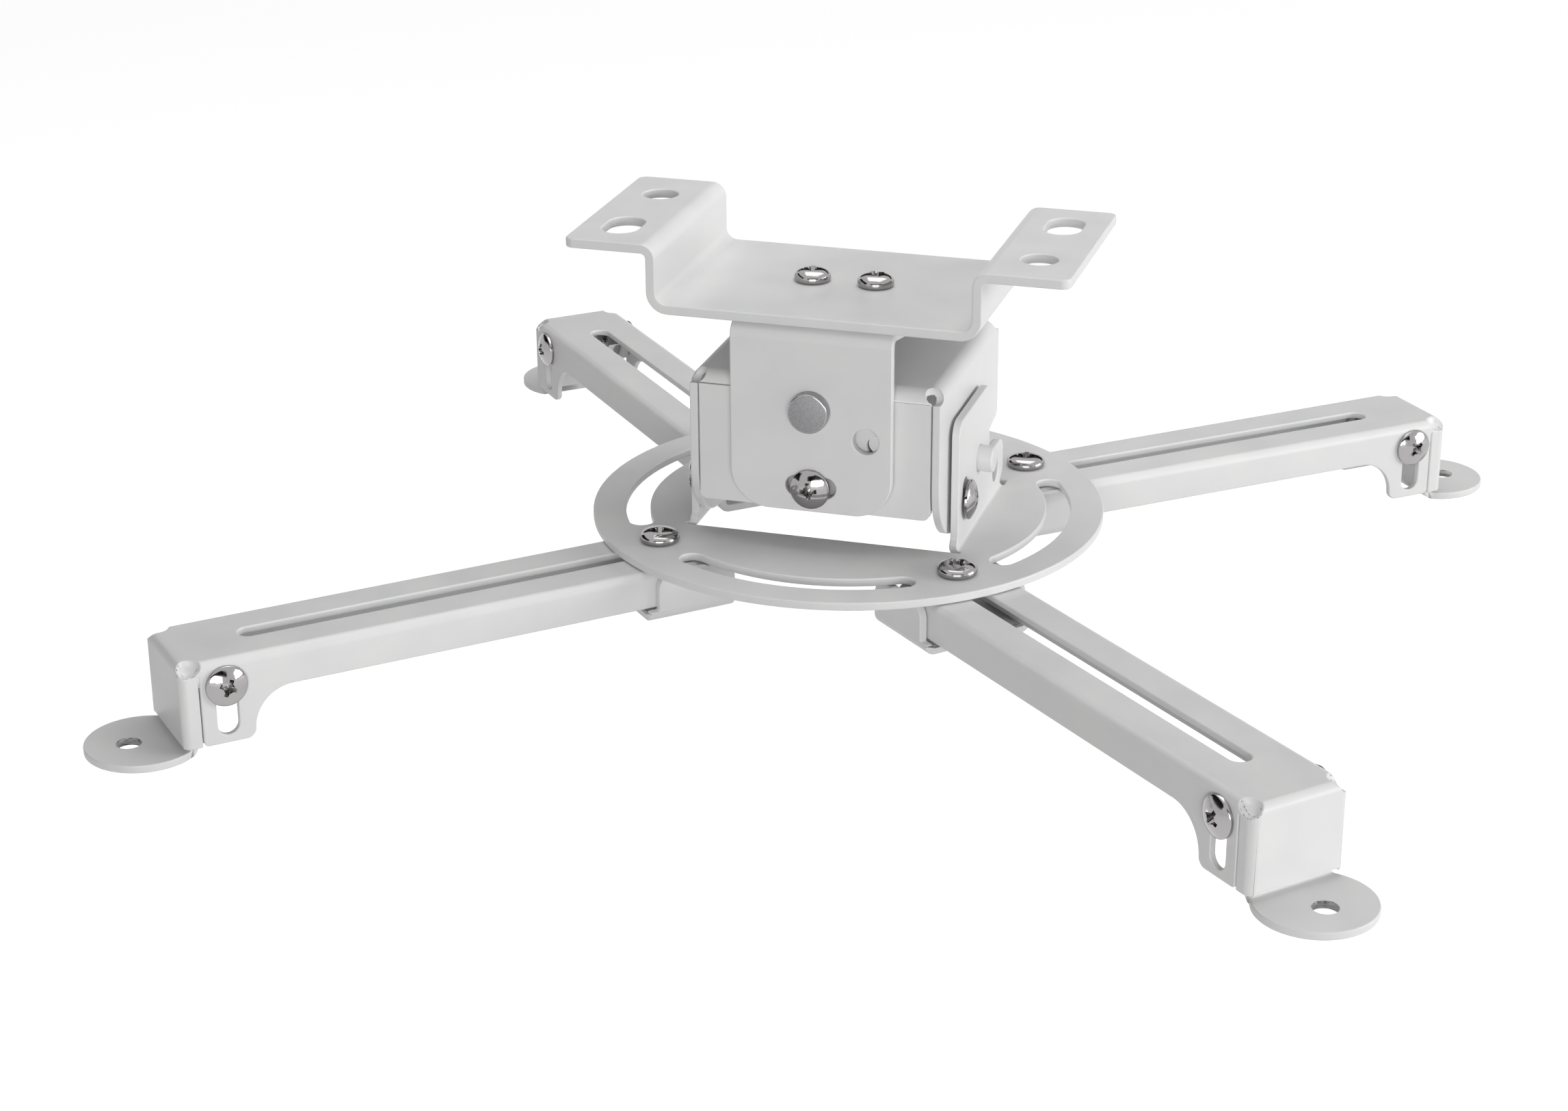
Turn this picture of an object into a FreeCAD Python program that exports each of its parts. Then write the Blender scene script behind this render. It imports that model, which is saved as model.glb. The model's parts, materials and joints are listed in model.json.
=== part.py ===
import FreeCAD, Part
import math
import os
import re
import Sketcher

os.makedirs("parts", exist_ok=True)
doc = FreeCAD.newDocument("ProjectorMount")

# Millimetres and degrees. The origin is the middle of the ceiling bracket on the ceiling, Z up.
# A drop is measured down from the ceiling, a height up from the top face of the hub disc.
SIZES = {
    "slip": 0.2,
    "pitch_slip": 0.7,
    "bracket_length": 150,
    "bracket_width": 69,
    "bracket_sheet": 2.9,
    "bracket_depth": 17.8,
    "bracket_leg_span": 100,
    "wing_bend": 1.5,
    "plate_bend": 3.5,
    "wing_corner": 2.8,
    "anchor_x": 62.5,
    "anchor_y": 17,
    "anchor_hole": 10.8,
    "anchor_slot_width": 11,
    "anchor_slot_length": 17,
    "bracket_screw_x": 9.7,
    "bracket_screw_y": 0.6,
    "bracket_screw_head": 11,
    "yoke_sheet": 2.8,
    "yoke_centre": 5.1,
    "yoke_half_width": 24.4,
    "yoke_web_half_width": 30,
    "yoke_flare": 20,
    "yoke_neck": 1,
    "yoke_end_drop": 77.1,
    "yoke_corner": 11.5,
    "yoke_bend": 1.8,
    "roll_drop": 45.5,
    "roll_slot_radius": 24.2,
    "roll_slot_width": 6.4,
    "roll_slot_half_angle": 10.5,
    "roll_hole_x": 16.6,
    "roll_hole_below": 8.1,
    "roll_hole": 7.8,
    "roll_hole_shift": 2.4,
    "block_sheet": 2.5,
    "block_drop": 37.7,
    "block_half_width": 38,
    "block_half_depth": 36.9,
    "block_gap": 0.35,
    "roll_gap": 0.7,
    "pitch_gap": 0.9,
    "block_bend": 1.5,
    "block_plate_height": 12,
    "block_plate_corner": 2.4,
    "block_relief": 2.9,
    "block_relief_inset": 2.3,
    "block_relief_drop": 1.8,
    "block_side_run": 1.7,
    "tongue_height": 2.3,
    "tongue_radius": 19.5,
    "tongue_back": 6,
    "flange_middle_height": 13,
    "flange_rear_height": 16.9,
    "flange_rear_run": 15.9,
    "flange_end_height": 20.3,
    "hub_drop": 89.6,
    "hub_centre": 6.1,
    "hub_diameter": 156,
    "hub_sheet": 2.5,
    "hub_bend": 1,
    "hub_relief": 1.2,
    "hub_slot_width": 7.4,
    "hub_slot_half_angle": 29.7,
    "opening_front": 30.4,
    "opening_rear": 31.6,
    "tab_foot_front": 29.2,
    "tab_foot_rear": 27.2,
    "tab_front": 27.8,
    "tab_step": 11.3,
    "tab_rear": 30.7,
    "tab_height": 39.3,
    "ear_height": 15.2,
    "ear_foot_height": 4,
    "tab_corner": 5,
    "tab_foot_height": 1.6,
    "tab_waist_height": 3,
    "pitch_front": 1.5,
    "pitch_height": 19.3,
    "pitch_slot_radius": 18.3,
    "pitch_slot_dip": 21.8,
    "pitch_slot_width": 6.4,
    "pitch_slot_half_angle": 12.9,
    "ear_hole": 8,
    "ear_hole_rear": 20.5,
    "ear_hole_height": 7.6,
    "clamp_circle": 64.3,
    "front_left_toe_angle": -0.84,
    "front_right_toe_angle": 2.04,
    "rear_right_toe_angle": -3.83,
    "rear_left_toe_angle": -2.67,
    "pushed_front_left": 4.8,
    "pushed_front_right": 0.6,
    "pushed_rear_right": 8.2,
    "pushed_rear_left": 5.4,
    "arm_reach": 169.2,
    "arm_width": 31,
    "arm_sheet": 2,
    "arm_bend": 0.6,
    "arm_below_hub": 0.3,
    "arm_lower_edge": 14,
    "arm_end_depth": 28,
    "arm_face_depth": 27.4,
    "arm_face": 11.3,
    "arm_seam": 5.5,
    "arm_seam_gap": 0.35,
    "arm_cheek": 21,
    "arm_cheek_corner": 2.8,
    "arm_seam_corner": 1.5,
    "arm_relief": 3.7,
    "arm_relief_back": 2.9,
    "arm_relief_inset": 0.6,
    "arm_arch": 11.5,
    "arm_inner_web": 4,
    "arm_slot_width": 6.5,
    "arm_slot_outer": 33.6,
    "foot_screw_back": 24.5,
    "foot_screw_depth": 10.4,
    "foot_slot_width": 6.2,
    "foot_slot_end": 25.5,
    "foot_sheet": 2.3,
    "foot_depth": 29.3,
    "foot_bend": 1,
    "foot_overhang": 0.9,
    "foot_lip": 0.1,
    "foot_hole": 7.2,
    "foot_gap": 0.3,
    "foot_plate_top": 7,
    "foot_ear_length": 17.5,
    "foot_ear_lift": 1.5,
    "foot_ear_corner": 4,
    "sleeve_sheet": 2.5,
    "sleeve_clearance": 0.4,
    "sleeve_depth": 17.7,
    "sleeve_inner": 15.8,
    "sleeve_outer": 9,
    "sleeve_lip": 12,
    "sleeve_bend": 1,
    "sleeve_corner": 5,
    "weld_nut": 9,
    "weld_nut_height": 4.5,
    "screw": 6,
    "screw_head": 12,
    "screw_head_side": 1.5,
    "screw_head_dome": 2.5,
    "recess_half_length": 3.2,
    "recess_half_width": 0.85,
    "recess_depth": 2.4,
    "nut_flats": 10,
    "nut_height": 5,
    "screw_beyond": 1.5,
    "pin": 8,
    "pin_play": 0.1,
    "pin_stub": 4.6,
    "tenon": 5,
    "tenon_end": 7,
    "tenon_end_height": 1.5,
    "rivet_head": 12,
    "rivet_head_height": 2.8,
}

sheet = doc.addObject("Spreadsheet::Sheet", "Sizes")
for row, (name, number) in enumerate(SIZES.items(), 1):
    sheet.set("A%d" % row, name)
    sheet.set("B%d" % row, str(number))
    sheet.setAlias("B%d" % row, name)
doc.recompute()

# Sizes that follow from others.
FOLLOWS = {
    "yoke_half_depth": "(block_half_depth + roll_gap + yoke_sheet)",
    "tab_face": "(block_half_width + pitch_gap + hub_sheet)",
    "foot_radius": "(arm_width / 2 + foot_overhang)",
    "foot_disc_back": "(arm_face + arm_sheet + foot_gap"
                      " - sqrt(foot_radius ^ 2 - (arm_width / 2 - arm_sheet - foot_gap + foot_lip) ^ 2))",
}
CORNERS = {"front_left": 225, "front_right": 315, "rear_right": 45, "rear_left": 135}
nodes = []


def bind(text):
    """A formula with each size's name turned into a reference to the sheet."""
    def reference(word):
        if word[0] in FOLLOWS:
            return bind(FOLLOWS[word[0]])
        return "Sizes." + word[0] if word[0] in SIZES else word[0]
    return re.sub(r"[a-z_]+", reference, str(text))


def value(text):
    return float(sheet.evalExpression(bind(text)))


def drive(item, field, text):
    item.setExpression(field, bind(text))


def new_body(label, x="0", y="0", z="0", turn="0", axis=(0, 0, 1)):
    """An empty body placed by formulas; its label names the file."""
    body = doc.addObject("PartDesign::Body", label)
    body.Label = label
    rotation = FreeCAD.Rotation(FreeCAD.Vector(*axis), value(turn))
    body.Placement = FreeCAD.Placement(FreeCAD.Vector(value(x), value(y), value(z)), rotation)
    for field, text in (("x", x), ("y", y), ("z", z)):
        drive(body, "Placement.Base." + field, text)
    drive(body, "Placement.Rotation.Angle", "(%s) * 1 deg" % turn)
    nodes.append(body)
    return body


def new_sketch(body, role, offset="0"):
    """A sketch on one of the body's own planes, moved along its normal."""
    sketch = body.newObject("Sketcher::SketchObject", body.Name + "_sketch")
    plane = [item for item in body.Origin.OriginFeatures if item.Role == role + "_Plane"][0]
    sketch.AttachmentSupport = [(plane, "")]
    sketch.MapMode = "FlatFace"
    sketch.AttachmentOffset = FreeCAD.Placement(FreeCAD.Vector(0, 0, value(offset)), FreeCAD.Rotation())
    drive(sketch, "AttachmentOffset.Base.z", offset)
    return sketch


def hold(sketch, geometry, point, x, y):
    for kind, text in (("DistanceX", x), ("DistanceY", y)):
        rule = sketch.addConstraint(Sketcher.Constraint(kind, -1, 1, geometry, point, value(text)))
        drive(sketch, "Constraints[%d]" % rule, text)


def size(sketch, kind, geometry, text):
    rule = sketch.addConstraint(Sketcher.Constraint(kind, geometry, value(text)))
    drive(sketch, "Constraints[%d]" % rule, text)


def circle(sketch, x, y, diameter):
    centre = FreeCAD.Vector(value(x), value(y), 0)
    ring = sketch.addGeometry(Part.Circle(centre, FreeCAD.Vector(0, 0, 1), value(diameter) / 2), False)
    hold(sketch, ring, 3, x, y)
    size(sketch, "Diameter", ring, diameter)


def curve(start, end, radius):
    """An arc run anticlockwise from one point to another, of half a turn at most."""
    middle = (start + end) * 0.5
    chord = end - start
    rise = math.sqrt(max(radius * radius - chord.Length * chord.Length / 4, 0))
    centre = middle + FreeCAD.Vector(-chord.y, chord.x, 0).normalize() * rise
    first = math.atan2(start.y - centre.y, start.x - centre.x)
    last = math.atan2(end.y - centre.y, end.x - centre.x)
    return Part.ArcOfCircle(Part.Circle(centre, FreeCAD.Vector(0, 0, 1), radius), first, last)


def outline(sketch, corners):
    """
    A closed line run anticlockwise through corners of x, y and, where an arc leaves the corner,
    its shape (out, in or cap, a half circle that goes on from the line before it) and radius.
    """
    points = [FreeCAD.Vector(value(corner[0]), value(corner[1]), 0) for corner in corners]
    ends = []
    for index, corner in enumerate(corners):
        start = points[index]
        end = points[(index + 1) % len(points)]
        shape = corner[2] if len(corner) > 2 else "line"
        if shape == "line":
            item = sketch.addGeometry(Part.LineSegment(start, end), False)
        elif shape == "cap":
            item = sketch.addGeometry(curve(start, end, (end - start).Length / 2), False)
        elif shape == "out":
            item = sketch.addGeometry(curve(start, end, value(corner[3])), False)
        else:
            item = sketch.addGeometry(curve(end, start, value(corner[3])), False)
        ends.append((item, 2, 1) if shape == "in" else (item, 1, 2))
    for index, corner in enumerate(corners):
        item, first, last = ends[index]
        before = ends[index - 1]
        shape = corner[2] if len(corner) > 2 else "line"
        joint = "Tangent" if shape == "cap" else "Coincident"
        sketch.addConstraint(Sketcher.Constraint(joint, before[0], before[2], item, first))
        if shape != "cap":
            hold(sketch, item, first, corner[0], corner[1])
        else:
            hold(sketch, before[0], before[2], corner[0], corner[1])
        if shape in ("out", "in"):
            size(sketch, "Radius", item, corner[3])


def box_outline(sketch, left, low, right, high):
    outline(sketch, [(left, low), (right, low), (right, high), (left, high)])


def slot(sketch, x, y, width, half_length):
    """An upright slot; half_length runs from its middle to the centre of an end."""
    left = "%s - (%s) / 2" % (x, width)
    right = "%s + (%s) / 2" % (x, width)
    low = "%s - (%s)" % (y, half_length)
    high = "%s + (%s)" % (y, half_length)
    outline(sketch, [(right, low), (right, high, "cap"), (left, high), (left, low, "cap")])


def arc_slot(sketch, x, y, radius, middle, half_angle, width):
    """A slot that follows a circle round x, y."""
    def point(angle, side):
        reach = "(%s %s (%s) / 2)" % (radius, side, width)
        return ("%s + %s * cos(%s)" % (x, reach, angle), "%s + %s * sin(%s)" % (y, reach, angle))
    low = "(%s) - (%s)" % (middle, half_angle)
    high = "(%s) + (%s)" % (middle, half_angle)
    outline(sketch, [
        point(low, "+") + ("out", "%s + (%s) / 2" % (radius, width)),
        point(high, "+") + ("cap",),
        point(high, "-") + ("in", "%s - (%s) / 2" % (radius, width)),
        point(low, "-") + ("cap",),
    ])


def pad(body, sketch, length, symmetric=False, reverse=False):
    item = body.newObject("PartDesign::Pad", body.Name + "_pad")
    item.Profile = sketch
    item.SideType = "Symmetric" if symmetric else "One side"
    item.Reversed = reverse
    item.Length = value(length)
    drive(item, "Length", length)
    doc.recompute()
    return item


def cut(body, sketch, length=None, symmetric=True, reverse=False):
    """A pocket; without a length it goes through the whole body both ways."""
    item = body.newObject("PartDesign::Pocket", body.Name + "_cut")
    item.Profile = sketch
    item.SideType = "Symmetric" if symmetric else "One side"
    item.Reversed = reverse
    if length is None:
        item.Type = "ThroughAll"
    else:
        item.Length = value(length)
        drive(item, "Length", length)
    doc.recompute()
    return item


def turned(body, sketch, axis):
    item = body.newObject("PartDesign::Revolution", body.Name + "_turned")
    item.Profile = sketch
    item.ReferenceAxis = (sketch, [axis])
    item.Angle = 360
    doc.recompute()
    return item


def relieved(body, radius, x, y, z):
    """Takes a ball out of a folded corner: the relief hole where the bends meet."""
    item = body.newObject("PartDesign::SubtractiveSphere", body.Name + "_relief")
    item.Radius = value(radius)
    drive(item, "Radius", radius)
    item.Placement = FreeCAD.Placement(FreeCAD.Vector(value(x), value(y), value(z)), FreeCAD.Rotation())
    for field, text in (("x", x), ("y", y), ("z", z)):
        drive(item, "Placement.Base." + field, text)
    doc.recompute()
    return item


def lines_at(shape, axis, first, second):
    """Names of the straight edges along an axis at the other two coordinates."""
    others = [index for index in range(3) if index != axis]
    found = []
    for number, edge in enumerate(shape.Edges, 1):
        ends = [vertex.Point for vertex in edge.Vertexes]
        if len(ends) != 2 or abs(ends[0][axis] - ends[1][axis]) < 0.05:
            continue
        near = [abs(end[others[0]] - first) + abs(end[others[1]] - second) < 0.02 for end in ends]
        if all(near):
            found.append("Edge%d" % number)
    return found


def rounded(body, radius, spots):
    """Rounds the edges named by axis letter and the formulas of the other two coordinates."""
    base = body.Tip
    local = base.Shape.copy()
    names = []
    for letter, first, second in spots:
        names += lines_at(local, "xyz".index(letter), value(first), value(second))
    item = body.newObject("PartDesign::Fillet", body.Name + "_round")
    item.Base = (base, sorted(set(names)))
    item.Radius = value(radius)
    drive(item, "Radius", radius)
    doc.recompute()
    return item


def both(letter, first, second):
    """The same edge on either side of the body's middle plane."""
    return [(letter, first, second), (letter, "-(%s)" % first, second)]


# Ceiling bracket: a hat-shaped strip. The wings lie on the ceiling, the plate between the legs
# carries the yoke. A round hole and a slot in each wing take the ceiling screws.
bracket = new_body("ceiling_bracket")
sketch = new_sketch(bracket, "XZ")
wing_end = "bracket_length / 2"
leg_out = "bracket_leg_span / 2"
leg_in = "(bracket_leg_span / 2 - bracket_sheet)"
plate_top = "-bracket_depth"
plate_low = "-bracket_depth - bracket_sheet"
outline(sketch, [
    ("-" + wing_end, "-bracket_sheet"), ("-" + leg_out, "-bracket_sheet"),
    ("-" + leg_out, plate_low), (leg_out, plate_low),
    (leg_out, "-bracket_sheet"), (wing_end, "-bracket_sheet"),
    (wing_end, "0"), (leg_in, "0"), (leg_in, plate_top),
    ("-" + leg_in, plate_top), ("-" + leg_in, "0"), ("-" + wing_end, "0"),
])
pad(bracket, sketch, "bracket_width", symmetric=True)
rounded(bracket, "wing_bend + bracket_sheet", both("y", leg_in, "0"))
rounded(bracket, "wing_bend", both("y", leg_out, "-bracket_sheet"))
rounded(bracket, "plate_bend", both("y", leg_in, plate_top))
rounded(bracket, "plate_bend + bracket_sheet", both("y", leg_out, plate_low))
rounded(bracket, "wing_corner", both("z", wing_end, "bracket_width / 2")
        + both("z", wing_end, "-bracket_width / 2"))
sketch = new_sketch(bracket, "XY")
circle(sketch, "-anchor_x", "anchor_y", "anchor_hole")
circle(sketch, "anchor_x", "-anchor_y", "anchor_hole")
slot_half = "(anchor_slot_length - anchor_slot_width) / 2"
slot(sketch, "-anchor_x", "-anchor_y", "anchor_slot_width", slot_half)
slot(sketch, "anchor_x", "anchor_y", "anchor_slot_width", slot_half)
circle(sketch, "-bracket_screw_x", "bracket_screw_y", "screw")
circle(sketch, "bracket_screw_x", "bracket_screw_y", "screw")
cut(bracket, sketch)

# Yoke: an upside-down U under the bracket. Both legs have the hole of the roll pivot, the curved
# slot of the roll lock below it and a round hole beside it.
yoke = new_body("yoke", y="yoke_centre")
yoke_top = "(" + plate_low + ")"
web_low = "(" + plate_low + " - yoke_sheet)"
yoke_in = "(yoke_half_depth - yoke_sheet)"
sketch = new_sketch(yoke, "YZ")
outline(sketch, [
    ("-yoke_half_depth", "-yoke_end_drop"), ("-" + yoke_in, "-yoke_end_drop"),
    ("-" + yoke_in, web_low), (yoke_in, web_low),
    (yoke_in, "-yoke_end_drop"), ("yoke_half_depth", "-yoke_end_drop"),
    ("yoke_half_depth", yoke_top), ("-yoke_half_depth", yoke_top),
])
pad(yoke, sketch, "2 * yoke_web_half_width", symmetric=True)
rounded(yoke, "yoke_bend", [("x", yoke_in, web_low), ("x", "-" + yoke_in, web_low)])
rounded(yoke, "yoke_bend + yoke_sheet",
        [("x", "yoke_half_depth", yoke_top), ("x", "-yoke_half_depth", yoke_top)])
sketch = new_sketch(yoke, "XY")
flare_start = "(yoke_half_depth - yoke_sheet - yoke_neck)"
flare_end = "(yoke_half_depth - yoke_sheet - yoke_neck - yoke_flare)"
edge = "yoke_half_width"
wide = "yoke_web_half_width"
clear = "(yoke_web_half_width + 5)"
deep = "(yoke_half_depth + 5)"
outline(sketch, [(edge, "-" + deep), (clear, "-" + deep), (clear, "-" + flare_end),
                 (wide, "-" + flare_end), (edge, "-" + flare_start)])
outline(sketch, [(edge, flare_start), (wide, flare_end), (clear, flare_end), (clear, deep), (edge, deep)])
outline(sketch, [("-" + clear, "-" + deep), ("-" + edge, "-" + deep), ("-" + edge, "-" + flare_start),
                 ("-" + wide, "-" + flare_end), ("-" + clear, "-" + flare_end)])
outline(sketch, [("-" + clear, flare_end), ("-" + wide, flare_end), ("-" + edge, flare_start),
                 ("-" + edge, deep), ("-" + clear, deep)])
cut(yoke, sketch)
rounded(yoke, "yoke_corner", both("y", "yoke_half_width", "-yoke_end_drop"))
sketch = new_sketch(yoke, "XZ")
circle(sketch, "0", "-roll_drop", "pin + pin_play")
circle(sketch, "roll_hole_x", "-roll_drop - roll_hole_below", "roll_hole")
arc_slot(sketch, "0", "-roll_drop", "roll_slot_radius", "-90", "roll_slot_half_angle", "roll_slot_width")
cut(yoke, sketch)
sketch = new_sketch(yoke, "XY")
circle(sketch, "-bracket_screw_x", "bracket_screw_y - yoke_centre", "screw")
circle(sketch, "bracket_screw_x", "bracket_screw_y - yoke_centre", "screw")
cut(yoke, sketch)

# Tilt block: a box of folded sheet, open below. The front and rear plates hang in the yoke, the
# side flanges reach down between the tabs of the hub.
block = new_body("tilt_block", y="yoke_centre")
block_top = "-block_drop"
roof_low = "(-block_drop - block_sheet)"
side = "block_half_width"
side_in = "(block_half_width - block_sheet)"
side_bend = "(block_half_width - block_sheet - block_bend)"
depth = "block_half_depth"
plate_in = "(block_half_depth - block_sheet)"
bend_in = "(block_half_depth - block_sheet - block_bend)"
bend_low = "(-block_drop - block_sheet - block_bend)"
bend_out = "block_bend + block_sheet"
under = "(-hub_drop - 5)"
sketch = new_sketch(block, "XZ")
outline(sketch, [
    (side_in, under), (side, under), (side, bend_low, "out", bend_out), (side_bend, block_top),
    ("-" + side_bend, block_top, "out", bend_out), ("-" + side, bend_low),
    ("-" + side, under), ("-" + side_in, under), ("-" + side_in, bend_low, "in", "block_bend"),
    ("-" + side_bend, roof_low), (side_bend, roof_low, "in", "block_bend"), (side_in, bend_low),
])
pad(block, sketch, "2 * block_half_depth", symmetric=True)
sketch = new_sketch(block, "YZ")
outline(sketch, [
    ("-block_half_depth - 5", "-hub_drop - 10"), ("block_half_depth + 5", "-hub_drop - 10"),
    ("block_half_depth + 5", "flange_end_height - hub_drop"), (depth, "flange_end_height - hub_drop"),
    ("block_half_depth - flange_rear_run", "flange_rear_height - hub_drop"),
    ("tongue_back", "flange_middle_height - hub_drop"),
    ("-tongue_back", "tongue_height - hub_drop"),
    ("-block_half_depth + tongue_radius", "tongue_height - hub_drop", "in", "tongue_radius"),
    ("-" + depth, "tongue_height + tongue_radius - hub_drop"),
    ("-block_half_depth - 5", "tongue_height + tongue_radius - hub_drop"),
])
cut(block, sketch)
rounded(block, "block_plate_corner", [("x", depth, "flange_end_height - hub_drop")])
sketch = new_sketch(block, "XY", block_top)
side_end = "(block_half_depth - block_sheet - block_bend + block_side_run)"
beyond = "(block_half_width + 5)"
outline(sketch, [
    ("-" + beyond, side_end), ("-" + side_bend, side_end), ("-" + side_bend, bend_in), (side_bend, bend_in),
    (side_bend, side_end), (beyond, side_end), (beyond, depth + " + 5"), ("-" + beyond, depth + " + 5"),
])
outline(sketch, [
    ("-" + beyond, "-%s - 5" % depth), (beyond, "-%s - 5" % depth), (beyond, "-" + side_end),
    (side_bend, "-" + side_end), (side_bend, "-" + bend_in), ("-" + side_bend, "-" + bend_in),
    ("-" + side_bend, "-" + side_end), ("-" + beyond, "-" + side_end),
])
cut(block, sketch, bend_out, symmetric=False)
sketch = new_sketch(block, "YZ")
plate_end = "block_plate_height - hub_drop"
outline(sketch, [
    ("-" + depth, plate_end), ("-" + plate_in, plate_end), ("-" + plate_in, bend_low, "in", "block_bend"),
    ("-" + bend_in, roof_low), ("-" + bend_in, block_top, "out", bend_out), ("-" + depth, bend_low),
])
outline(sketch, [
    (plate_in, plate_end), (depth, plate_end), (depth, bend_low, "out", bend_out), (bend_in, block_top),
    (bend_in, roof_low, "in", "block_bend"), (plate_in, bend_low),
])
pad(block, sketch, "2 * (block_half_width - block_sheet - block_gap)", symmetric=True)
rounded(block, "block_plate_corner", both("y", "block_half_width - block_sheet - block_gap", plate_end))
for side_sign in ("", "-"):
    for end_sign in ("", "-"):
        relieved(block, "block_relief", side_sign + "(block_half_width - block_relief_inset)",
                 end_sign + "(block_half_depth - block_relief_inset)", "-block_drop - block_relief_drop")
sketch = new_sketch(block, "XZ")
circle(sketch, "0", "-roll_drop", "tenon")
circle(sketch, "0", "-roll_drop - roll_slot_radius", "screw")
circle(sketch, "roll_hole_x + roll_hole_shift", "-roll_drop - roll_hole_below - roll_hole_shift", "screw")
cut(block, sketch)
pitch_y = "hub_centre - yoke_centre - pitch_front"
lock_y = pitch_y + " - pitch_slot_radius * cos(pitch_slot_dip)"
pitch_z = "pitch_height - hub_drop"
lock_z = pitch_z + " - pitch_slot_radius * sin(pitch_slot_dip)"
sketch = new_sketch(block, "YZ")
circle(sketch, pitch_y, pitch_z, "tenon")
circle(sketch, lock_y, lock_z, "screw")
cut(block, sketch)

# Hub disc: the round plate that carries the four arms, with two tabs folded up out of its
# rectangular opening. The tabs hold the pitch pivots and the curved slots of the pitch lock.
hub = new_body("hub_disc", y="hub_centre", z="-hub_drop")
sketch = new_sketch(hub, "XY")
circle(sketch, "0", "0", "hub_diameter")
pad(hub, sketch, "hub_sheet", reverse=True)
sketch = new_sketch(hub, "YZ")
outline(sketch, [
    ("-tab_foot_front", "-hub_sheet"), ("tab_foot_rear", "-hub_sheet"),
    ("tab_foot_rear", "tab_foot_height"), ("tab_rear", "ear_foot_height"), ("tab_rear", "ear_height"),
    ("tab_step", "ear_height"), ("tab_step", "tab_height"), ("-tab_front", "tab_height"),
    ("-tab_front", "tab_waist_height"), ("-tab_foot_front", "tab_foot_height"),
])
pad(hub, sketch, "2 * tab_face", symmetric=True)
rounded(hub, "tab_corner", [("x", "-tab_front", "tab_height"), ("x", "tab_step", "tab_height"),
                            ("x", "tab_rear", "ear_height")])
rounded(hub, "0.6 * tab_corner", [("x", "tab_step", "ear_height"), ("x", "tab_rear", "ear_foot_height")])
sketch = new_sketch(hub, "YZ")
tab_in = "(tab_face - hub_sheet)"
box_outline(sketch, "-opening_front", "-hub_sheet - 5", "opening_rear", "tab_height + 5")
cut(hub, sketch, "2 * " + tab_in)
sketch = new_sketch(hub, "XY")
relief = "(tab_face + hub_relief)"
box_outline(sketch, "-" + relief, "-opening_front", relief, "-tab_foot_front")
box_outline(sketch, "-" + relief, "tab_foot_rear", relief, "opening_rear")
cut(hub, sketch, "hub_sheet", symmetric=False)
rounded(hub, "hub_bend", both("y", "tab_face", "0"))
rounded(hub, "hub_bend + hub_sheet", both("y", tab_in, "-hub_sheet"))
sketch = new_sketch(hub, "YZ")
circle(sketch, "-pitch_front", "pitch_height", "pin + pin_play")
circle(sketch, "ear_hole_rear", "ear_hole_height", "ear_hole")
arc_slot(sketch, "-pitch_front", "pitch_height", "pitch_slot_radius", "180 + pitch_slot_dip",
         "pitch_slot_half_angle", "pitch_slot_width")
cut(hub, sketch)
sketch = new_sketch(hub, "XY")
for angle in CORNERS.values():
    circle(sketch, "clamp_circle * cos(%d)" % angle, "clamp_circle * sin(%d)" % angle, "screw + pin_play")
for angle in (0, 90, 180, 270):
    arc_slot(sketch, "0", "0", "clamp_circle", angle, "hub_slot_half_angle", "hub_slot_width")
cut(hub, sketch)


def pan_screw(label, length, x, y, z, turn="0", axis=(0, 0, 1), head="screw_head"):
    """A pan-head screw: the seat of its head at the given point, its shank along minus Z before the turn."""
    body = new_body(label, x, y, z, turn, axis)
    sketch = new_sketch(body, "XZ")
    top = "screw_head_side + screw_head_dome"
    outline(sketch, [
        ("0", "-(%s)" % length), ("screw / 2", "-(%s)" % length), ("screw / 2", "0"),
        (head + " / 2", "0"),
        (head + " / 2", "screw_head_side", "out",
         "(%s ^ 2 / 4 + screw_head_dome ^ 2) / (2 * screw_head_dome)" % head),
        ("0", top),
    ])
    turned(body, sketch, "V_Axis")
    sketch = new_sketch(body, "XY", top)
    cross(sketch)
    cut(body, sketch, "recess_depth", symmetric=False)
    return body


def cross(sketch, x="0", y="0"):
    arm = "recess_half_length"
    half = "recess_half_width"
    corners = [(arm, "-" + half), (arm, half), (half, half), (half, arm), ("-" + half, arm),
               ("-" + half, half), ("-" + arm, half), ("-" + arm, "-" + half), ("-" + half, "-" + half),
               ("-" + half, "-" + arm), (half, "-" + arm), (half, "-" + half)]
    outline(sketch, [("%s + %s" % (x, corner[0]), "%s + %s" % (y, corner[1])) for corner in corners])


def hexagon(sketch, x="0", y="0"):
    reach = "nut_flats / 2 / cos(30)"
    outline(sketch, [("%s + %s * cos(%d)" % (x, reach, angle), "%s + %s * sin(%d)" % (y, reach, angle))
                     for angle in range(0, 360, 60)])


def hex_nut(label, x, y, z, turn="0", axis=(0, 0, 1)):
    """A hexagon nut that hangs from the given point along minus Z before the turn."""
    body = new_body(label, x, y, z, turn, axis)
    sketch = new_sketch(body, "XY")
    hexagon(sketch)
    circle(sketch, "0", "0", "screw")
    pad(body, sketch, "nut_height", reverse=True)
    return body


# Screws and nuts that hold the yoke under the bracket.
for side, x in (("left", "-bracket_screw_x"), ("right", "bracket_screw_x")):
    pan_screw("bracket_screw_" + side, "bracket_sheet + yoke_sheet + nut_height + screw_beyond", x, "bracket_screw_y",
              plate_top, head="bracket_screw_head")
    hex_nut("yoke_nut_" + side, x, "bracket_screw_y", web_low)



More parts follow.
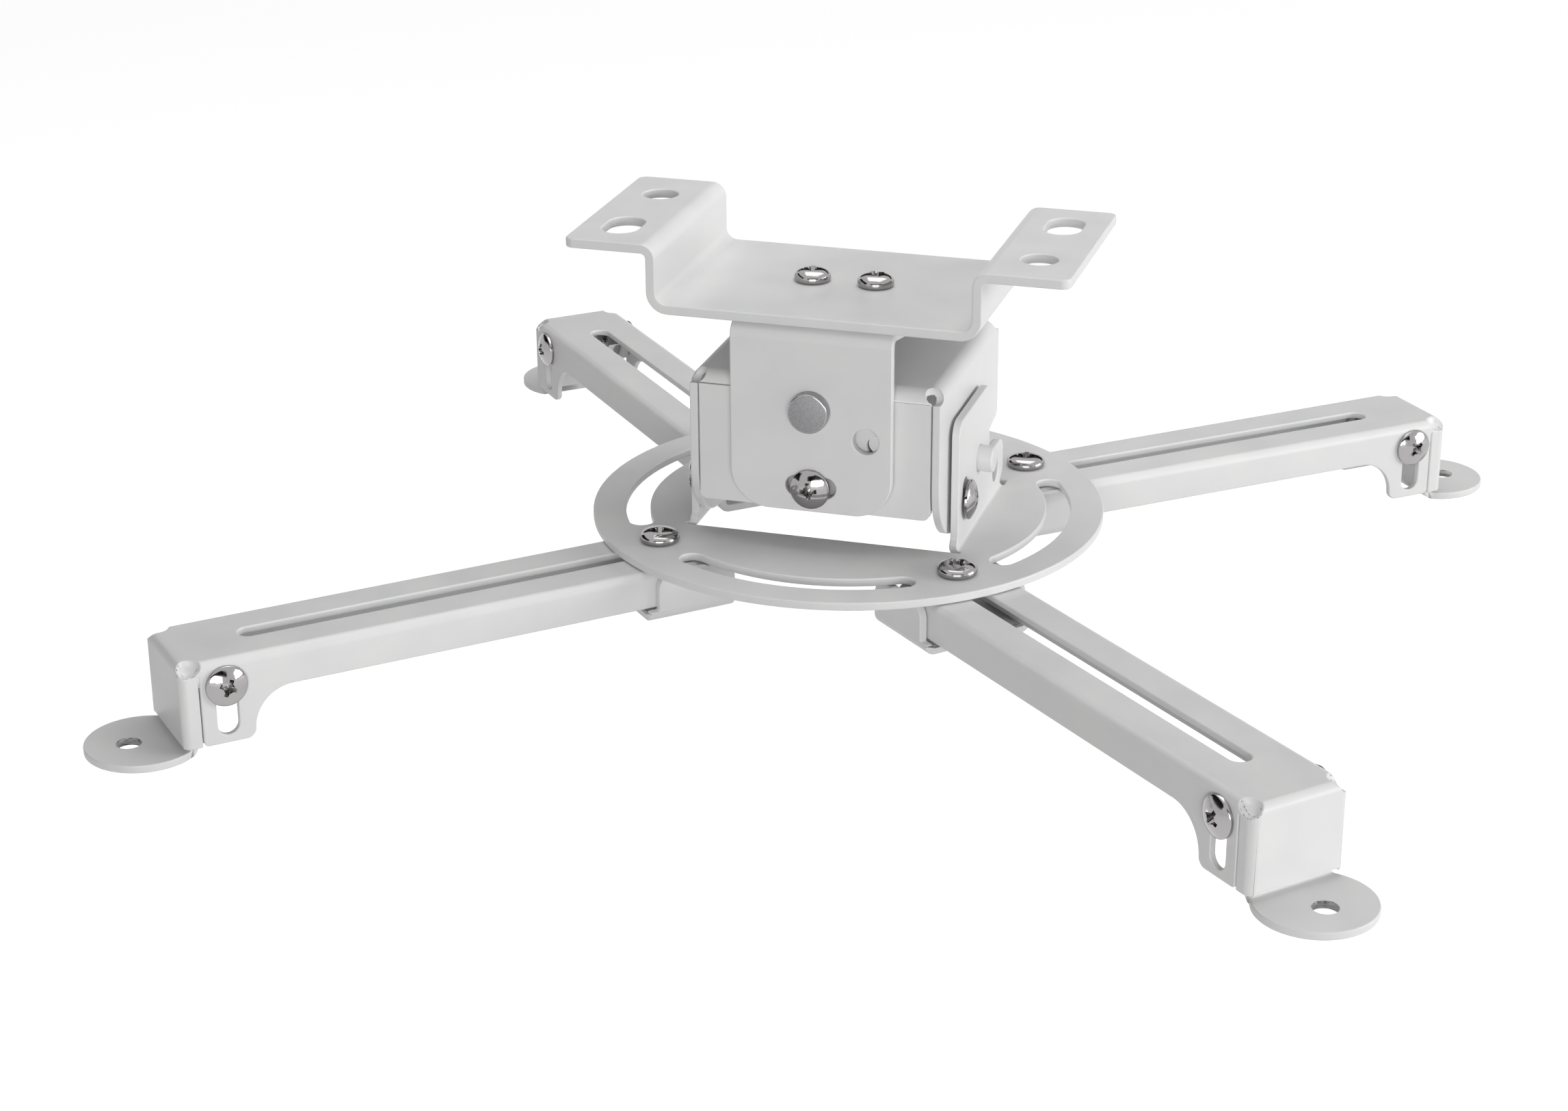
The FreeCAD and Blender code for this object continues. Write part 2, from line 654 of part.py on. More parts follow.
def shoulder(step):
    """The lower half of a pivot's outline: a tenon upset behind the block's sheet, under a shoulder."""
    back = step + " - block_sheet"
    end = back + " - tenon_end_height"
    return [("0", end), ("tenon_end / 2", end), ("tenon_end / 2", back), ("tenon / 2", back),
            ("tenon / 2", step), ("pin / 2", step)]


# Roll pivots and roll locks at the front and rear legs of the yoke, all fast on the block.
for side, sign, turn in (("front", "-", "90"), ("rear", "+", "-90")):
    seat = "yoke_centre %s (yoke_half_depth + slip)" % sign
    face = "yoke_half_depth + slip"
    inner = "block_half_depth - block_sheet"
    rivet = new_body("roll_pivot_" + side, "0", seat, "-roll_drop", turn, (1, 0, 0))
    sketch = new_sketch(rivet, "XZ")
    outline(sketch, shoulder("-(%s - block_half_depth)" % face) + [
        ("pin / 2", "0"), ("rivet_head / 2", "0"),
        ("rivet_head / 2", "rivet_head_height"), ("0", "rivet_head_height"),
    ])
    turned(rivet, sketch, "V_Axis")
    pan_screw("roll_screw_" + side, face + " - (" + inner + ") + nut_height + screw_beyond",
              "0", seat, "-roll_drop - roll_slot_radius", turn, (1, 0, 0))
    hex_nut("roll_nut_" + side, "0", "yoke_centre %s (%s)" % (sign, inner),
            "-roll_drop - roll_slot_radius", turn, (1, 0, 0))

# Pitch pivots and pitch locks at the left and right tabs of the hub, all fast on the block.
for side, sign, turn in (("left", "-", "-90"), ("right", "+", "90")):
    face = "(tab_face + pitch_slip)"
    inner = "(block_half_width - block_sheet)"
    stud = new_body("pitch_pivot_" + side, "%s tab_face" % sign, "hub_centre - pitch_front", pitch_z,
                    turn, (0, 1, 0))
    sketch = new_sketch(stud, "XZ")
    outline(sketch, shoulder("(block_half_width - tab_face)") + [("pin / 2", "pin_stub"), ("0", "pin_stub")])
    turned(stud, sketch, "V_Axis")
    pan_screw("pitch_screw_" + side, face + " - " + inner + " + nut_height + screw_beyond", sign + face,
              "hub_centre - pitch_front - pitch_slot_radius * cos(pitch_slot_dip)", lock_z, turn, (0, 1, 0))
    hex_nut("pitch_nut_" + side, sign + inner,
            "hub_centre - pitch_front - pitch_slot_radius * cos(pitch_slot_dip)", lock_z, turn, (0, 1, 0))

# One set for each corner: the sleeve under the disc with its clamp screw and weld nut, the arm
# that slides in it, and the foot bracket in the arm's end with its screws and nuts.
hub_low = "-hub_sheet"
sleeve_half = "(arm_width / 2 + sleeve_clearance + sleeve_sheet)"
sleeve_in = "(arm_width / 2 + sleeve_clearance)"
sleeve_top = "(-hub_sheet - arm_below_hub)"
floor_top = "(-sleeve_depth + sleeve_sheet)"
arm_top = "(-hub_sheet - arm_below_hub)"
arm_half = "arm_width / 2"
arm_in = "(arm_width / 2 - arm_sheet)"
ear_out = "(arm_width / 2 - arm_sheet - foot_gap)"
foot_face = "(-arm_face - arm_sheet - foot_gap)"
for corner, angle in CORNERS.items():
    turn = "%d + %s_toe_angle" % (angle, corner)
    reach = "(arm_reach - pushed_%s)" % corner
    clamp_x = "clamp_circle * cos(%d)" % angle
    clamp_y = "hub_centre + clamp_circle * sin(%d)" % angle
    pad_x = "%s + %s * cos(%s)" % (clamp_x, reach, turn)
    pad_y = "%s + %s * sin(%s)" % (clamp_y, reach, turn)

    sleeve = new_body("sleeve_" + corner, clamp_x, clamp_y, "-hub_drop", turn)
    sketch = new_sketch(sleeve, "YZ", "-sleeve_inner")
    outline(sketch, [
        ("-" + sleeve_half, "-sleeve_depth"), (sleeve_half, "-sleeve_depth"), (sleeve_half, sleeve_top),
        (sleeve_in, sleeve_top), (sleeve_in, floor_top), ("-" + sleeve_in, floor_top),
        ("-" + sleeve_in, sleeve_top), ("-" + sleeve_half, sleeve_top),
    ])
    pad(sleeve, sketch, "sleeve_inner + sleeve_lip")
    rounded(sleeve, "sleeve_bend", [("x", sleeve_in, floor_top), ("x", "-" + sleeve_in, floor_top)])
    rounded(sleeve, "sleeve_bend + sleeve_sheet",
            [("x", sleeve_half, "-sleeve_depth"), ("x", "-" + sleeve_half, "-sleeve_depth")])
    sketch = new_sketch(sleeve, "XZ")
    box_outline(sketch, "sleeve_outer", floor_top + " + sleeve_bend", "sleeve_lip + 5", "0")
    cut(sleeve, sketch)
    rounded(sleeve, "sleeve_corner", [("y", "-sleeve_inner", sleeve_top), ("y", "sleeve_outer", sleeve_top)])
    sketch = new_sketch(sleeve, "XY")
    circle(sketch, "0", "0", "screw")
    cut(sleeve, sketch)

    weld_nut = new_body("clamp_nut_" + corner, clamp_x, clamp_y, "-hub_drop - sleeve_depth")
    sketch = new_sketch(weld_nut, "XY")
    circle(sketch, "0", "0", "weld_nut")
    circle(sketch, "0", "0", "screw")
    pad(weld_nut, sketch, "weld_nut_height", reverse=True)
    pan_screw("clamp_screw_" + corner, "slip + sleeve_depth + weld_nut_height", clamp_x, clamp_y,
              "slip - hub_drop")

    arm = new_body("arm_" + corner, pad_x, pad_y, "-hub_drop", turn)
    arm_end = "(-arm_reach - arm_slot_width / 2 - arm_inner_web)"
    sketch = new_sketch(arm, "YZ", arm_end)
    outline(sketch, [
        ("-" + arm_half, "-arm_end_depth"), ("-" + arm_in, "-arm_end_depth"),
        ("-" + arm_in, arm_top + " - arm_sheet"), (arm_in, arm_top + " - arm_sheet"),
        (arm_in, "-arm_end_depth"), (arm_half, "-arm_end_depth"),
        (arm_half, arm_top), ("-" + arm_half, arm_top),
    ])
    pad(arm, sketch, "-arm_face - " + arm_end)
    sketch = new_sketch(arm, "YZ", "-arm_face")
    box_outline(sketch, "-" + arm_half, "-arm_face_depth", arm_half, arm_top)
    pad(arm, sketch, "arm_sheet", reverse=True)
    sketch = new_sketch(arm, "XZ")
    cheek = "(-arm_face - arm_cheek)"
    box_outline(sketch, arm_end + " - 5", "-arm_end_depth - 5", cheek, "-arm_lower_edge")
    cut(arm, sketch)
    rounded(arm, "arm_arch", [("y", cheek, "-arm_lower_edge")])
    rounded(arm, "arm_cheek_corner", [("y", cheek, "-arm_end_depth")])
    rounded(arm, "arm_bend + arm_sheet", [("x", arm_half, arm_top), ("x", "-" + arm_half, arm_top),
                                          ("y", "-arm_face", arm_top),
                                          ("z", "-arm_face", arm_half), ("z", "-arm_face", "-" + arm_half)])
    sketch = new_sketch(arm, "XZ")
    seam = "(-arm_face - arm_seam)"
    box_outline(sketch, seam + " - arm_seam_gap", "-arm_end_depth - 5", seam, arm_top + " - 2 * arm_sheet")
    slot_top = "(-foot_screw_depth + foot_slot_width / 2)"
    slot(sketch, "-foot_screw_back", "(-foot_screw_depth - foot_slot_end + foot_slot_width / 2) / 2",
         "foot_slot_width", "(foot_slot_end - foot_slot_width / 2 - foot_screw_depth) / 2")
    cut(arm, sketch)
    rounded(arm, "arm_seam_corner", [("y", seam + " - arm_seam_gap", "-arm_end_depth")])
    for sign in ("", "-"):
        relieved(arm, "arm_relief", "-arm_face - arm_relief_back",
                 sign + "(%s - arm_relief_inset)" % arm_half, arm_top)
    sketch = new_sketch(arm, "XY")
    slot_far = "(-arm_slot_outer - arm_slot_width / 2)"
    outline(sketch, [
        ("-arm_reach", "-arm_slot_width / 2"), (slot_far, "-arm_slot_width / 2", "cap"),
        (slot_far, "arm_slot_width / 2"), ("-arm_reach", "arm_slot_width / 2", "cap"),
    ])
    cut(arm, sketch)

    foot = new_body("foot_" + corner, pad_x, pad_y, "-hub_drop", turn)
    sketch = new_sketch(foot, "XZ")
    box_outline(sketch, foot_face + " - foot_sheet", "-foot_depth - foot_sheet", foot_face, "-foot_plate_top")
    pad(foot, sketch, "2 * " + ear_out, symmetric=True)
    sketch = new_sketch(foot, "XZ")
    ear_end = foot_face + " - foot_ear_length"
    ear_low = "-foot_depth + foot_ear_lift"
    box_outline(sketch, ear_end, ear_low, foot_face, "-foot_plate_top")
    pad(foot, sketch, "2 * " + ear_out, symmetric=True)
    sketch = new_sketch(foot, "XY", "-foot_depth - foot_sheet - 5")
    box_outline(sketch, foot_face + " - foot_ear_length - 5", "-%s + foot_sheet" % ear_out,
                foot_face + " - foot_sheet", "%s - foot_sheet" % ear_out)
    cut(foot, sketch, "foot_depth + foot_sheet + 5", symmetric=False, reverse=True)
    rounded(foot, "foot_bend", [("z", foot_face, ear_out), ("z", foot_face, "-" + ear_out)])
    rounded(foot, "foot_ear_corner", [("y", ear_end, ear_low), ("y", ear_end, "-foot_plate_top")])
    sketch = new_sketch(foot, "XY", "-foot_depth")
    start = "(%s - foot_sheet)" % foot_face
    chord = "sqrt(foot_radius ^ 2 - (%s + foot_disc_back) ^ 2)" % start
    outline(sketch, [
        (start, "-" + chord, "out", "foot_radius"), ("-foot_disc_back", "-foot_radius", "out", "foot_radius"),
        ("foot_radius - foot_disc_back", "0", "out", "foot_radius"),
        ("-foot_disc_back", "foot_radius", "out", "foot_radius"), (start, chord),
    ])
    circle(sketch, "0", "0", "foot_hole")
    pad(foot, sketch, "foot_sheet", reverse=True)
    rounded(foot, "foot_bend + foot_sheet", [("y", start, "-foot_depth - foot_sheet")])
    rounded(foot, "foot_bend", [("y", foot_face, "-foot_depth")])
    sketch = new_sketch(foot, "XZ")
    circle(sketch, "-foot_screw_back", "-foot_screw_depth", "screw")
    cut(foot, sketch)

    seat = "(arm_width / 2 + slip)"
    tip = "(arm_width / 2 - arm_sheet - foot_gap - foot_sheet - nut_height - screw_beyond)"
    top = seat + " + screw_head_side + screw_head_dome"
    dome = "(screw_head ^ 2 / 4 + screw_head_dome ^ 2) / (2 * screw_head_dome)"
    screw_x = "%s - foot_screw_back * cos(%s)" % (pad_x, turn)
    screw_y = "%s - foot_screw_back * sin(%s)" % (pad_y, turn)
    screws = new_body("foot_screws_" + corner, screw_x, screw_y, "-hub_drop - foot_screw_depth", turn)
    sketch = new_sketch(screws, "YZ")
    outline(sketch, [
        (tip, "0"), (top, "0", "out", dome), (seat + " + screw_head_side", "screw_head / 2"),
        (seat, "screw_head / 2"), (seat, "screw / 2"), (tip, "screw / 2"),
    ])
    outline(sketch, [
        ("-" + tip, "0"), ("-" + tip, "screw / 2"), ("-" + seat, "screw / 2"),
        ("-" + seat, "screw_head / 2"), ("-" + seat + " - screw_head_side", "screw_head / 2", "out", dome),
        ("-(%s)" % top, "0"),
    ])
    turned(screws, sketch, "H_Axis")
    sketch = new_sketch(screws, "XZ", top)
    cross(sketch)
    cut(screws, sketch, "recess_depth", symmetric=False)
    sketch = new_sketch(screws, "XZ", "-(%s)" % top)
    cross(sketch)
    cut(screws, sketch, "recess_depth", symmetric=False, reverse=True)

    nuts = new_body("foot_nuts_" + corner, screw_x, screw_y, "-hub_drop - foot_screw_depth", turn)
    inner = "(arm_width / 2 - arm_sheet - foot_gap - foot_sheet)"
    sketch = new_sketch(nuts, "XZ", inner)
    hexagon(sketch)
    circle(sketch, "0", "0", "screw")
    pad(nuts, sketch, "nut_height", reverse=True)
    sketch = new_sketch(nuts, "XZ", "-" + inner)
    hexagon(sketch)
    circle(sketch, "0", "0", "screw")
    pad(nuts, sketch, "nut_height")

doc.recompute()
faults = [item.Name for item in doc.Objects if "Invalid" in item.State or "Error" in item.State]
if faults:
    raise RuntimeError("not built: " + ", ".join(faults))
for node in nodes:
    if node.Shape.isNull() or not node.Shape.isValid():
        raise RuntimeError(node.Label + " has no valid shape")
    node.Shape.exportStep("parts/%s.step" % node.Label)
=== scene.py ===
import json
import math
import bmesh
import bpy
from mathutils import Matrix, Vector


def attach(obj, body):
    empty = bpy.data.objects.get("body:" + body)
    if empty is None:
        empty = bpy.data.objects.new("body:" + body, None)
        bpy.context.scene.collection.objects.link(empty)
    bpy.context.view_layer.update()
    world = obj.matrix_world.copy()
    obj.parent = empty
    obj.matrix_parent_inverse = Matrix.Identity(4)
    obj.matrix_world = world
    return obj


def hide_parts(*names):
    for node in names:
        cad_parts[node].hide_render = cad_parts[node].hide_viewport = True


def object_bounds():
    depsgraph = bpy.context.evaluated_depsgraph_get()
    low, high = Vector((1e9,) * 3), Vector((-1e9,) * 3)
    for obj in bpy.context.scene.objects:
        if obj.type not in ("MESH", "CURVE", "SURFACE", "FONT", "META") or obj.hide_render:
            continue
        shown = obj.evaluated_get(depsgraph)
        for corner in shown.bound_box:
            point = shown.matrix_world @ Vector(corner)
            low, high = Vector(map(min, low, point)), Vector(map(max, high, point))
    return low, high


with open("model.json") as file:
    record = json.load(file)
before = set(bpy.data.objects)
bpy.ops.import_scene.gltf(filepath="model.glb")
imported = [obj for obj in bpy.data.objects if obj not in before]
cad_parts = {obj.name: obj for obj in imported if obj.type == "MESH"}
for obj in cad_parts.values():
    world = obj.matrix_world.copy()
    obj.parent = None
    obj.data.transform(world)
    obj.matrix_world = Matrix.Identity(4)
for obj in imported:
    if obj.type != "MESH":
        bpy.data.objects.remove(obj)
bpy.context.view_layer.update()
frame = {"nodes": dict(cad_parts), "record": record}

MM = 0.001
nodes = frame["nodes"]

# Ceiling bracket: one strip of 2.9 mm steel, blanked, punched and folded to a hat section, then powder
# coated white. The coat is satin, hides the grain of the sheet and rounds every cut edge a little.


def linear(code):
    """A hex colour as linear red, green, blue and alpha."""
    parts = [int(code[i:i + 2], 16) / 255 for i in (0, 2, 4)]
    return [c / 12.92 if c <= 0.04045 else ((c + 0.055) / 1.055) ** 2.4 for c in parts] + [1]


def add(tree, kind, inputs=None, **fields):
    """A node with its settings, values and links; a socket among the inputs is linked."""
    node = tree.nodes.new(kind)
    for key, value in fields.items():
        setattr(node, key, value)
    for key, value in (inputs or {}).items():
        if isinstance(value, bpy.types.NodeSocket):
            tree.links.new(value, node.inputs[key])
        else:
            node.inputs[key].default_value = value
    return node


def metal_or_coat(name, colour, rough, metallic=0.0):
    """A plain surface; returns it with its node tree, its shader and its object coordinates."""
    made = bpy.data.materials.new(name)
    made.use_nodes = True
    tree = made.node_tree
    shader = tree.nodes["Principled BSDF"]
    shader.inputs["Base Color"].default_value = linear(colour)
    shader.inputs["Metallic"].default_value = metallic
    shader.inputs["Roughness"].default_value = rough
    place = add(tree, "ShaderNodeTexCoord").outputs["Object"]
    return made, tree, shader, place


def pattern(tree, place, grain, detail):
    """A noise whose grain is about the given size."""
    noise = add(tree, "ShaderNodeTexNoise", {"Vector": place, "Scale": 1 / grain, "Detail": detail})
    return noise.outputs[0]


def relief(tree, shader, height, depth):
    """Makes the surface rise and fall with a pattern."""
    bump = add(tree, "ShaderNodeBump", {"Height": height, "Strength": 1.0, "Distance": depth})
    tree.links.new(bump.outputs[0], shader.inputs["Normal"])


def uneven_gloss(tree, shader, value, smooth, rough):
    """Lets the roughness wander with a pattern."""
    gloss = add(tree, "ShaderNodeMapRange", {"Value": value, "From Min": 0.35, "From Max": 0.65,
                                             "To Min": smooth, "To Max": rough})
    tree.links.new(gloss.outputs[0], shader.inputs["Roughness"])


def uneven_tone(tree, shader, value, dark, light):
    """Lets the colour wander with a pattern."""
    share = add(tree, "ShaderNodeMapRange", {"Value": value, "From Min": 0.3, "From Max": 0.7})
    shade = add(tree, "ShaderNodeMix", {"Factor": share.outputs[0], 6: linear(dark), 7: linear(light)},
                data_type="RGBA")
    tree.links.new(shade.outputs[2], shader.inputs["Base Color"])


# Polyester powder coat, sprayed and baked: an almost neutral white with a soft sheen. Its orange peel is
# about 1.2 mm across and a few microns deep, and the film flows to slightly uneven gloss and tone.
ORANGE_PEEL = 1.2 * MM
ORANGE_PEEL_DEPTH = 0.009 * MM
FILM_FLOW = 18 * MM
powder_coat, tree, shader, place = metal_or_coat("white polyester powder coat on steel", "E4E4E4", 0.38)
relief(tree, shader, pattern(tree, place, ORANGE_PEEL, 2.0), ORANGE_PEEL_DEPTH)
film = pattern(tree, place, FILM_FLOW, 3.0)
uneven_gloss(tree, shader, film, 0.34, 0.43)
uneven_tone(tree, shader, film, "E2E2E3", "E7E7E6")


def fix(name, mesh, body, slot, surfaces, *stands_for):
    for surface in surfaces:
        mesh.materials.append(surface)
    for face in mesh.polygons:
        face.use_smooth = True
    piece = bpy.data.objects.new(name, mesh)
    bpy.context.scene.collection.objects.link(piece)
    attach(piece, body)
    if stands_for:
        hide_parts(*stands_for)
    return piece


def solid_of(node):
    """The node's solid in the frame, its seams closed and its flat faces joined up."""
    seam = 0.002 * MM
    flat = math.radians(0.6)
    work = bmesh.new()
    work.from_mesh(nodes[node].data)
    work.transform(nodes[node].matrix_world)
    bmesh.ops.remove_doubles(work, verts=work.verts, dist=seam)
    bmesh.ops.dissolve_limit(work, angle_limit=flat, verts=work.verts, edges=work.edges)
    return work


def mesh_of(work, name):
    """The finished mesh of a work mesh, which is freed."""
    mesh = bpy.data.meshes.new(name)
    work.to_mesh(mesh)
    work.free()
    return mesh


def round_edges(piece, radius, least=0.0):
    """Rounds a piece's sharp edges, but not the ones shorter than the least length."""
    sharp_from = math.radians(32)
    work = bmesh.new()
    work.from_mesh(piece.data)
    weight = work.edges.layers.float.new("bevel_weight_edge")
    for edge in work.edges:
        edge[weight] = edge.calc_face_angle(0) > sharp_from and edge.calc_length() > least
    work.to_mesh(piece.data)
    work.free()
    bevel = piece.modifiers.new("rounded edges", "BEVEL")
    bevel.width = radius
    bevel.segments = 3
    bevel.limit_method = "WEIGHT"
    bevel.loop_slide = False
    bevel.use_clamp_overlap = False
    shading = piece.modifiers.new("flat faces stay flat", "WEIGHTED_NORMAL")
    shading.keep_sharp = True


COAT_EDGE = 0.45 * MM


def coated(node, body, radius=COAT_EDGE, least=0.0):
    """A folded sheet part under its powder coat."""
    mesh = mesh_of(solid_of(node), node)
    round_edges(fix(node + "_coat", mesh, body, "white_coat", [powder_coat], node), radius, least)


coated("ceiling_bracket", "mount")

# Yoke: an upside-down U of 2.8 mm sheet that hangs under the bracket's middle plate and carries the tilt
# block between its legs. Folded, punched and powder coated as the bracket is.
coated("yoke", "mount")

# Screws and nuts of bracket and yoke: M6 pan heads with a cross recess, cold forged, their thread rolled,
# plated bright nickel. Their base colour is kept darker than real nickel: painted shade that stands in for a
# dark room in their reflections, on which the lamps draw crisp white lines along their rims.
THREAD_RADIUS = 3.0 * MM
THREAD_ROOT = 2.55 * MM
THREAD_PITCH = 1.0 * MM
THREAD_RUN_OUT = 1.6 * MM
THREAD_STEPS = 24
CAD_HEAD = 4.0 * MM
BRACKET_HEAD = (5.5 * MM, 3.9 * MM)
NUT_EDGE = 0.3 * MM
ROUND_STEPS = 64
SHARP = math.radians(38)
FORGED_GRAIN = 1.5 * MM
FORGED_DEPTH = 0.012 * MM
UP = Vector((0, 0, 1))

# Painted shade: the plate's base colour is darker than real nickel, so that its reflections of the white
# room come out dark.
nickel, tree, shader, place = metal_or_coat("nickel plate on forged steel, darkened as painted shade", "A3A1A1", 0.08, 1.0)
forged = pattern(tree, place, FORGED_GRAIN, 2.0)
relief(tree, shader, forged, FORGED_DEPTH)
uneven_gloss(tree, shader, forged, 0.06, 0.15)


def pan_head(radius, height):
    """Points of radius and height from under the rim over a tyre-like side to the top."""
    waist = 1.1 * MM
    tuck = 0.9 * MM
    squareness = 0.62
    crown = 0.9
    angles = [math.radians(angle) for angle in range(-90, 86, 5)]
    rim = [(radius - tuck + tuck * math.cos(angle), waist + waist * math.sin(angle))
           for angle in angles if angle < 0]
    top = [(radius * math.cos(angle) ** squareness, waist + (height - waist) * math.sin(angle) ** crown)
           for angle in angles if angle >= 0]
    return [(THREAD_ROOT, 0)] + rim + top + [(0, height)]


def low_head(radius):
    """Points of a head with a thin upright rim and a shallow dome."""
    shoulder = 0.95 * MM
    rise = 1.95 * MM
    chamfer = (0.25 * MM, 0.2 * MM)
    wall = 0.82 * MM
    shares = [0.985] + [tenth / 10 for tenth in range(9, 0, -1)]
    dome = [(radius * share, shoulder + rise * (1 - share * share)) for share in shares]
    rim = [(radius - chamfer[0], 0), (radius, chamfer[1]), (radius, wall)]
    return [(THREAD_ROOT, 0)] + rim + dome + [(0, shoulder + rise)]


def cross_recess(top, turn):
    """The punch of a cross recess: two tapered wings and a blunt cone, as a solid to cut with."""
    wing_floor = (2.4 * MM, 1.0 * MM, top - 2.3 * MM)
    wing_mouth = (6.6 * MM, 1.45 * MM, top + 0.6 * MM)
    cone_tip, cone_mouth, cone_height = 1.05 * MM, 1.75 * MM, 3.4 * MM
    cone_sunk = 1.1 * MM
    work = bmesh.new()
    for quarter in (0, 90):
        wing = bmesh.ops.create_cube(work, size=1)["verts"]
        for vert in wing:
            length, width, height = wing_floor if vert.co.z < 0 else wing_mouth
            vert.co = (vert.co.x * length, vert.co.y * width, height)
        bmesh.ops.rotate(work, verts=wing, cent=(0, 0, 0),
                         matrix=Matrix.Rotation(math.radians(turn + quarter), 3, "Z"))
    cone = bmesh.ops.create_cone(work, cap_ends=True, segments=24, radius1=cone_tip, radius2=cone_mouth,
                                 depth=cone_height)["verts"]
    bmesh.ops.translate(work, verts=cone, vec=(0, 0, top - cone_sunk))
    return work


def cut_with(mesh, cutter, name):
    """The mesh with the cutter taken out of it."""
    body = bpy.data.objects.new(name, mesh)
    tool = bpy.data.objects.new(name + "_punch", cutter)
    for thing in (body, tool):
        bpy.context.scene.collection.objects.link(thing)
    cut = body.modifiers.new("recess", "BOOLEAN")
    cut.object = tool
    cut.solver = "EXACT"
    cut.use_self = True
    bpy.context.view_layer.update()
    done = bpy.data.meshes.new_from_object(body.evaluated_get(bpy.context.evaluated_depsgraph_get()))
    for thing in (body, tool):
        old = thing.data
        bpy.data.objects.remove(thing)
        bpy.data.meshes.remove(old)
    return done


def screw(length, outline, turn):
    """A screw with its seat at the origin, its head above and its threaded shank below."""
    tip = -length
    chamfer = (0.5 * MM, 0.6 * MM)
    points = [(0, tip), (THREAD_ROOT - chamfer[0], tip), (THREAD_ROOT, tip + chamfer[1])] + outline
    work = bmesh.new()
    verts = [work.verts.new((r, 0, z)) for r, z in points]
    edges = [work.edges.new(pair) for pair in zip(verts, verts[1:])]
    bmesh.ops.spin(work, geom=verts + edges, cent=(0, 0, 0), axis=(0, 0, 1), angle=2 * math.pi,
                   steps=ROUND_STEPS, use_merge=True)
    bmesh.ops.remove_doubles(work, verts=work.verts, dist=0.001 * MM)
    bmesh.ops.recalc_face_normals(work, faces=work.faces)
    mesh = mesh_of(work, "blank")
    mesh = cut_with(mesh, mesh_of(cross_recess(outline[-1][1], turn), "punch"), "blank")

    work = bmesh.new()
    work.from_mesh(mesh)
    bpy.data.meshes.remove(mesh)
    sunk = THREAD_ROOT - 0.1 * MM
    section = ((sunk, 0.5 * MM), (THREAD_RADIUS, 0.9 * MM), (THREAD_RADIUS, 1.02 * MM), (sunk, 1.42 * MM))
    ridge = work.faces.new([work.verts.new((r, 0, tip + z)) for r, z in section])
    turns = (length - THREAD_RUN_OUT) / THREAD_PITCH
    steps = round(THREAD_STEPS * turns)
    bmesh.ops.spin(work, geom=[ridge] + ridge.edges[:] + ridge.verts[:], cent=(0, 0, 0), axis=(0, 0, 1),
                   angle=2 * math.pi * turns, steps=steps, dvec=(0, 0, turns * THREAD_PITCH / steps))
    return work


def span(node, way):
    """The lowest and the highest point of a node along a direction."""
    marks = [way.dot(nodes[node].matrix_world @ vert.co) for vert in nodes[node].data.vertices]
    return min(marks), max(marks)


def standing(seat, way):
    """The turn and shift that put a screw's seat at a point with its head towards a direction."""
    return Matrix.Translation(seat) @ way.to_track_quat("Z", "Y").to_matrix().to_4x4()


def crisp(work, node, body, surfaces, finish="_nickel"):
    """A hard metal piece with crisp edges, in the place of its node."""
    piece = fix(node + finish, mesh_of(work, node), body, "fasteners", surfaces, node)
    piece.data.set_sharp_from_angle(angle=SHARP)


def fasten(node, body, way, outline, turn):
    """Puts a screw in the place of its node, whose head points along the given direction."""
    side = way.orthogonal().normalized()
    back = way.cross(side)
    tip, top = span(node, way)
    centre = side * (sum(span(node, side)) / 2) + back * (sum(span(node, back)) / 2)
    work = screw(top - CAD_HEAD - tip, outline, turn)
    work.transform(standing(centre + way * (top - CAD_HEAD), way))
    crisp(work, node, body, [nickel])


def nut(node, body):
    """A nut with its corners chamfered by the forging."""
    mesh = mesh_of(solid_of(node), node)
    round_edges(fix(node + "_nickel", mesh, body, "fasteners", [nickel], node), NUT_EDGE)


for side, turn in (("left", 12), ("right", 40)):
    fasten("bracket_screw_" + side, "mount", UP, pan_head(*BRACKET_HEAD), turn)
    nut("yoke_nut_" + side, "mount")

# Tilt block: a box of 2.5 mm sheet, open below, folded from one blank with a ball-shaped relief in each
# upper corner. It rolls in the yoke and carries the hub. Powder coated.
SOFT_EDGE = 0.4 * MM
SHORTEST_ROUNDED = 0.45 * MM
coated("tilt_block", "block", SOFT_EDGE, SHORTEST_ROUNDED)

# Pivots. The block rolls on two steel rivets, their sides turned and shiny, their flat faces bare and matt
# from the press, with a grit drawn coarser than it is so that it shows. The hub turns on two coated stubs.
GRIT_GRAIN = 0.45 * MM
GRIT_DEPTH = 0.05 * MM
RIVET_PROUD = 0.5 * MM
RIVET_EDGE = 0.4 * MM
STUB_EDGE = 0.6 * MM
LEVEL = 0.01 * MM
FRONT, REAR = Vector((0, -1, 0)), Vector((0, 1, 0))

rivet_steel, tree, shader, place = metal_or_coat("pressed bare steel", "8E8E8F", 0.5, 1.0)
grit = pattern(tree, place, GRIT_GRAIN, 4.0)
relief(tree, shader, grit, GRIT_DEPTH)
uneven_gloss(tree, shader, grit, 0.4, 0.6)
uneven_tone(tree, shader, grit, "787879", "929294")

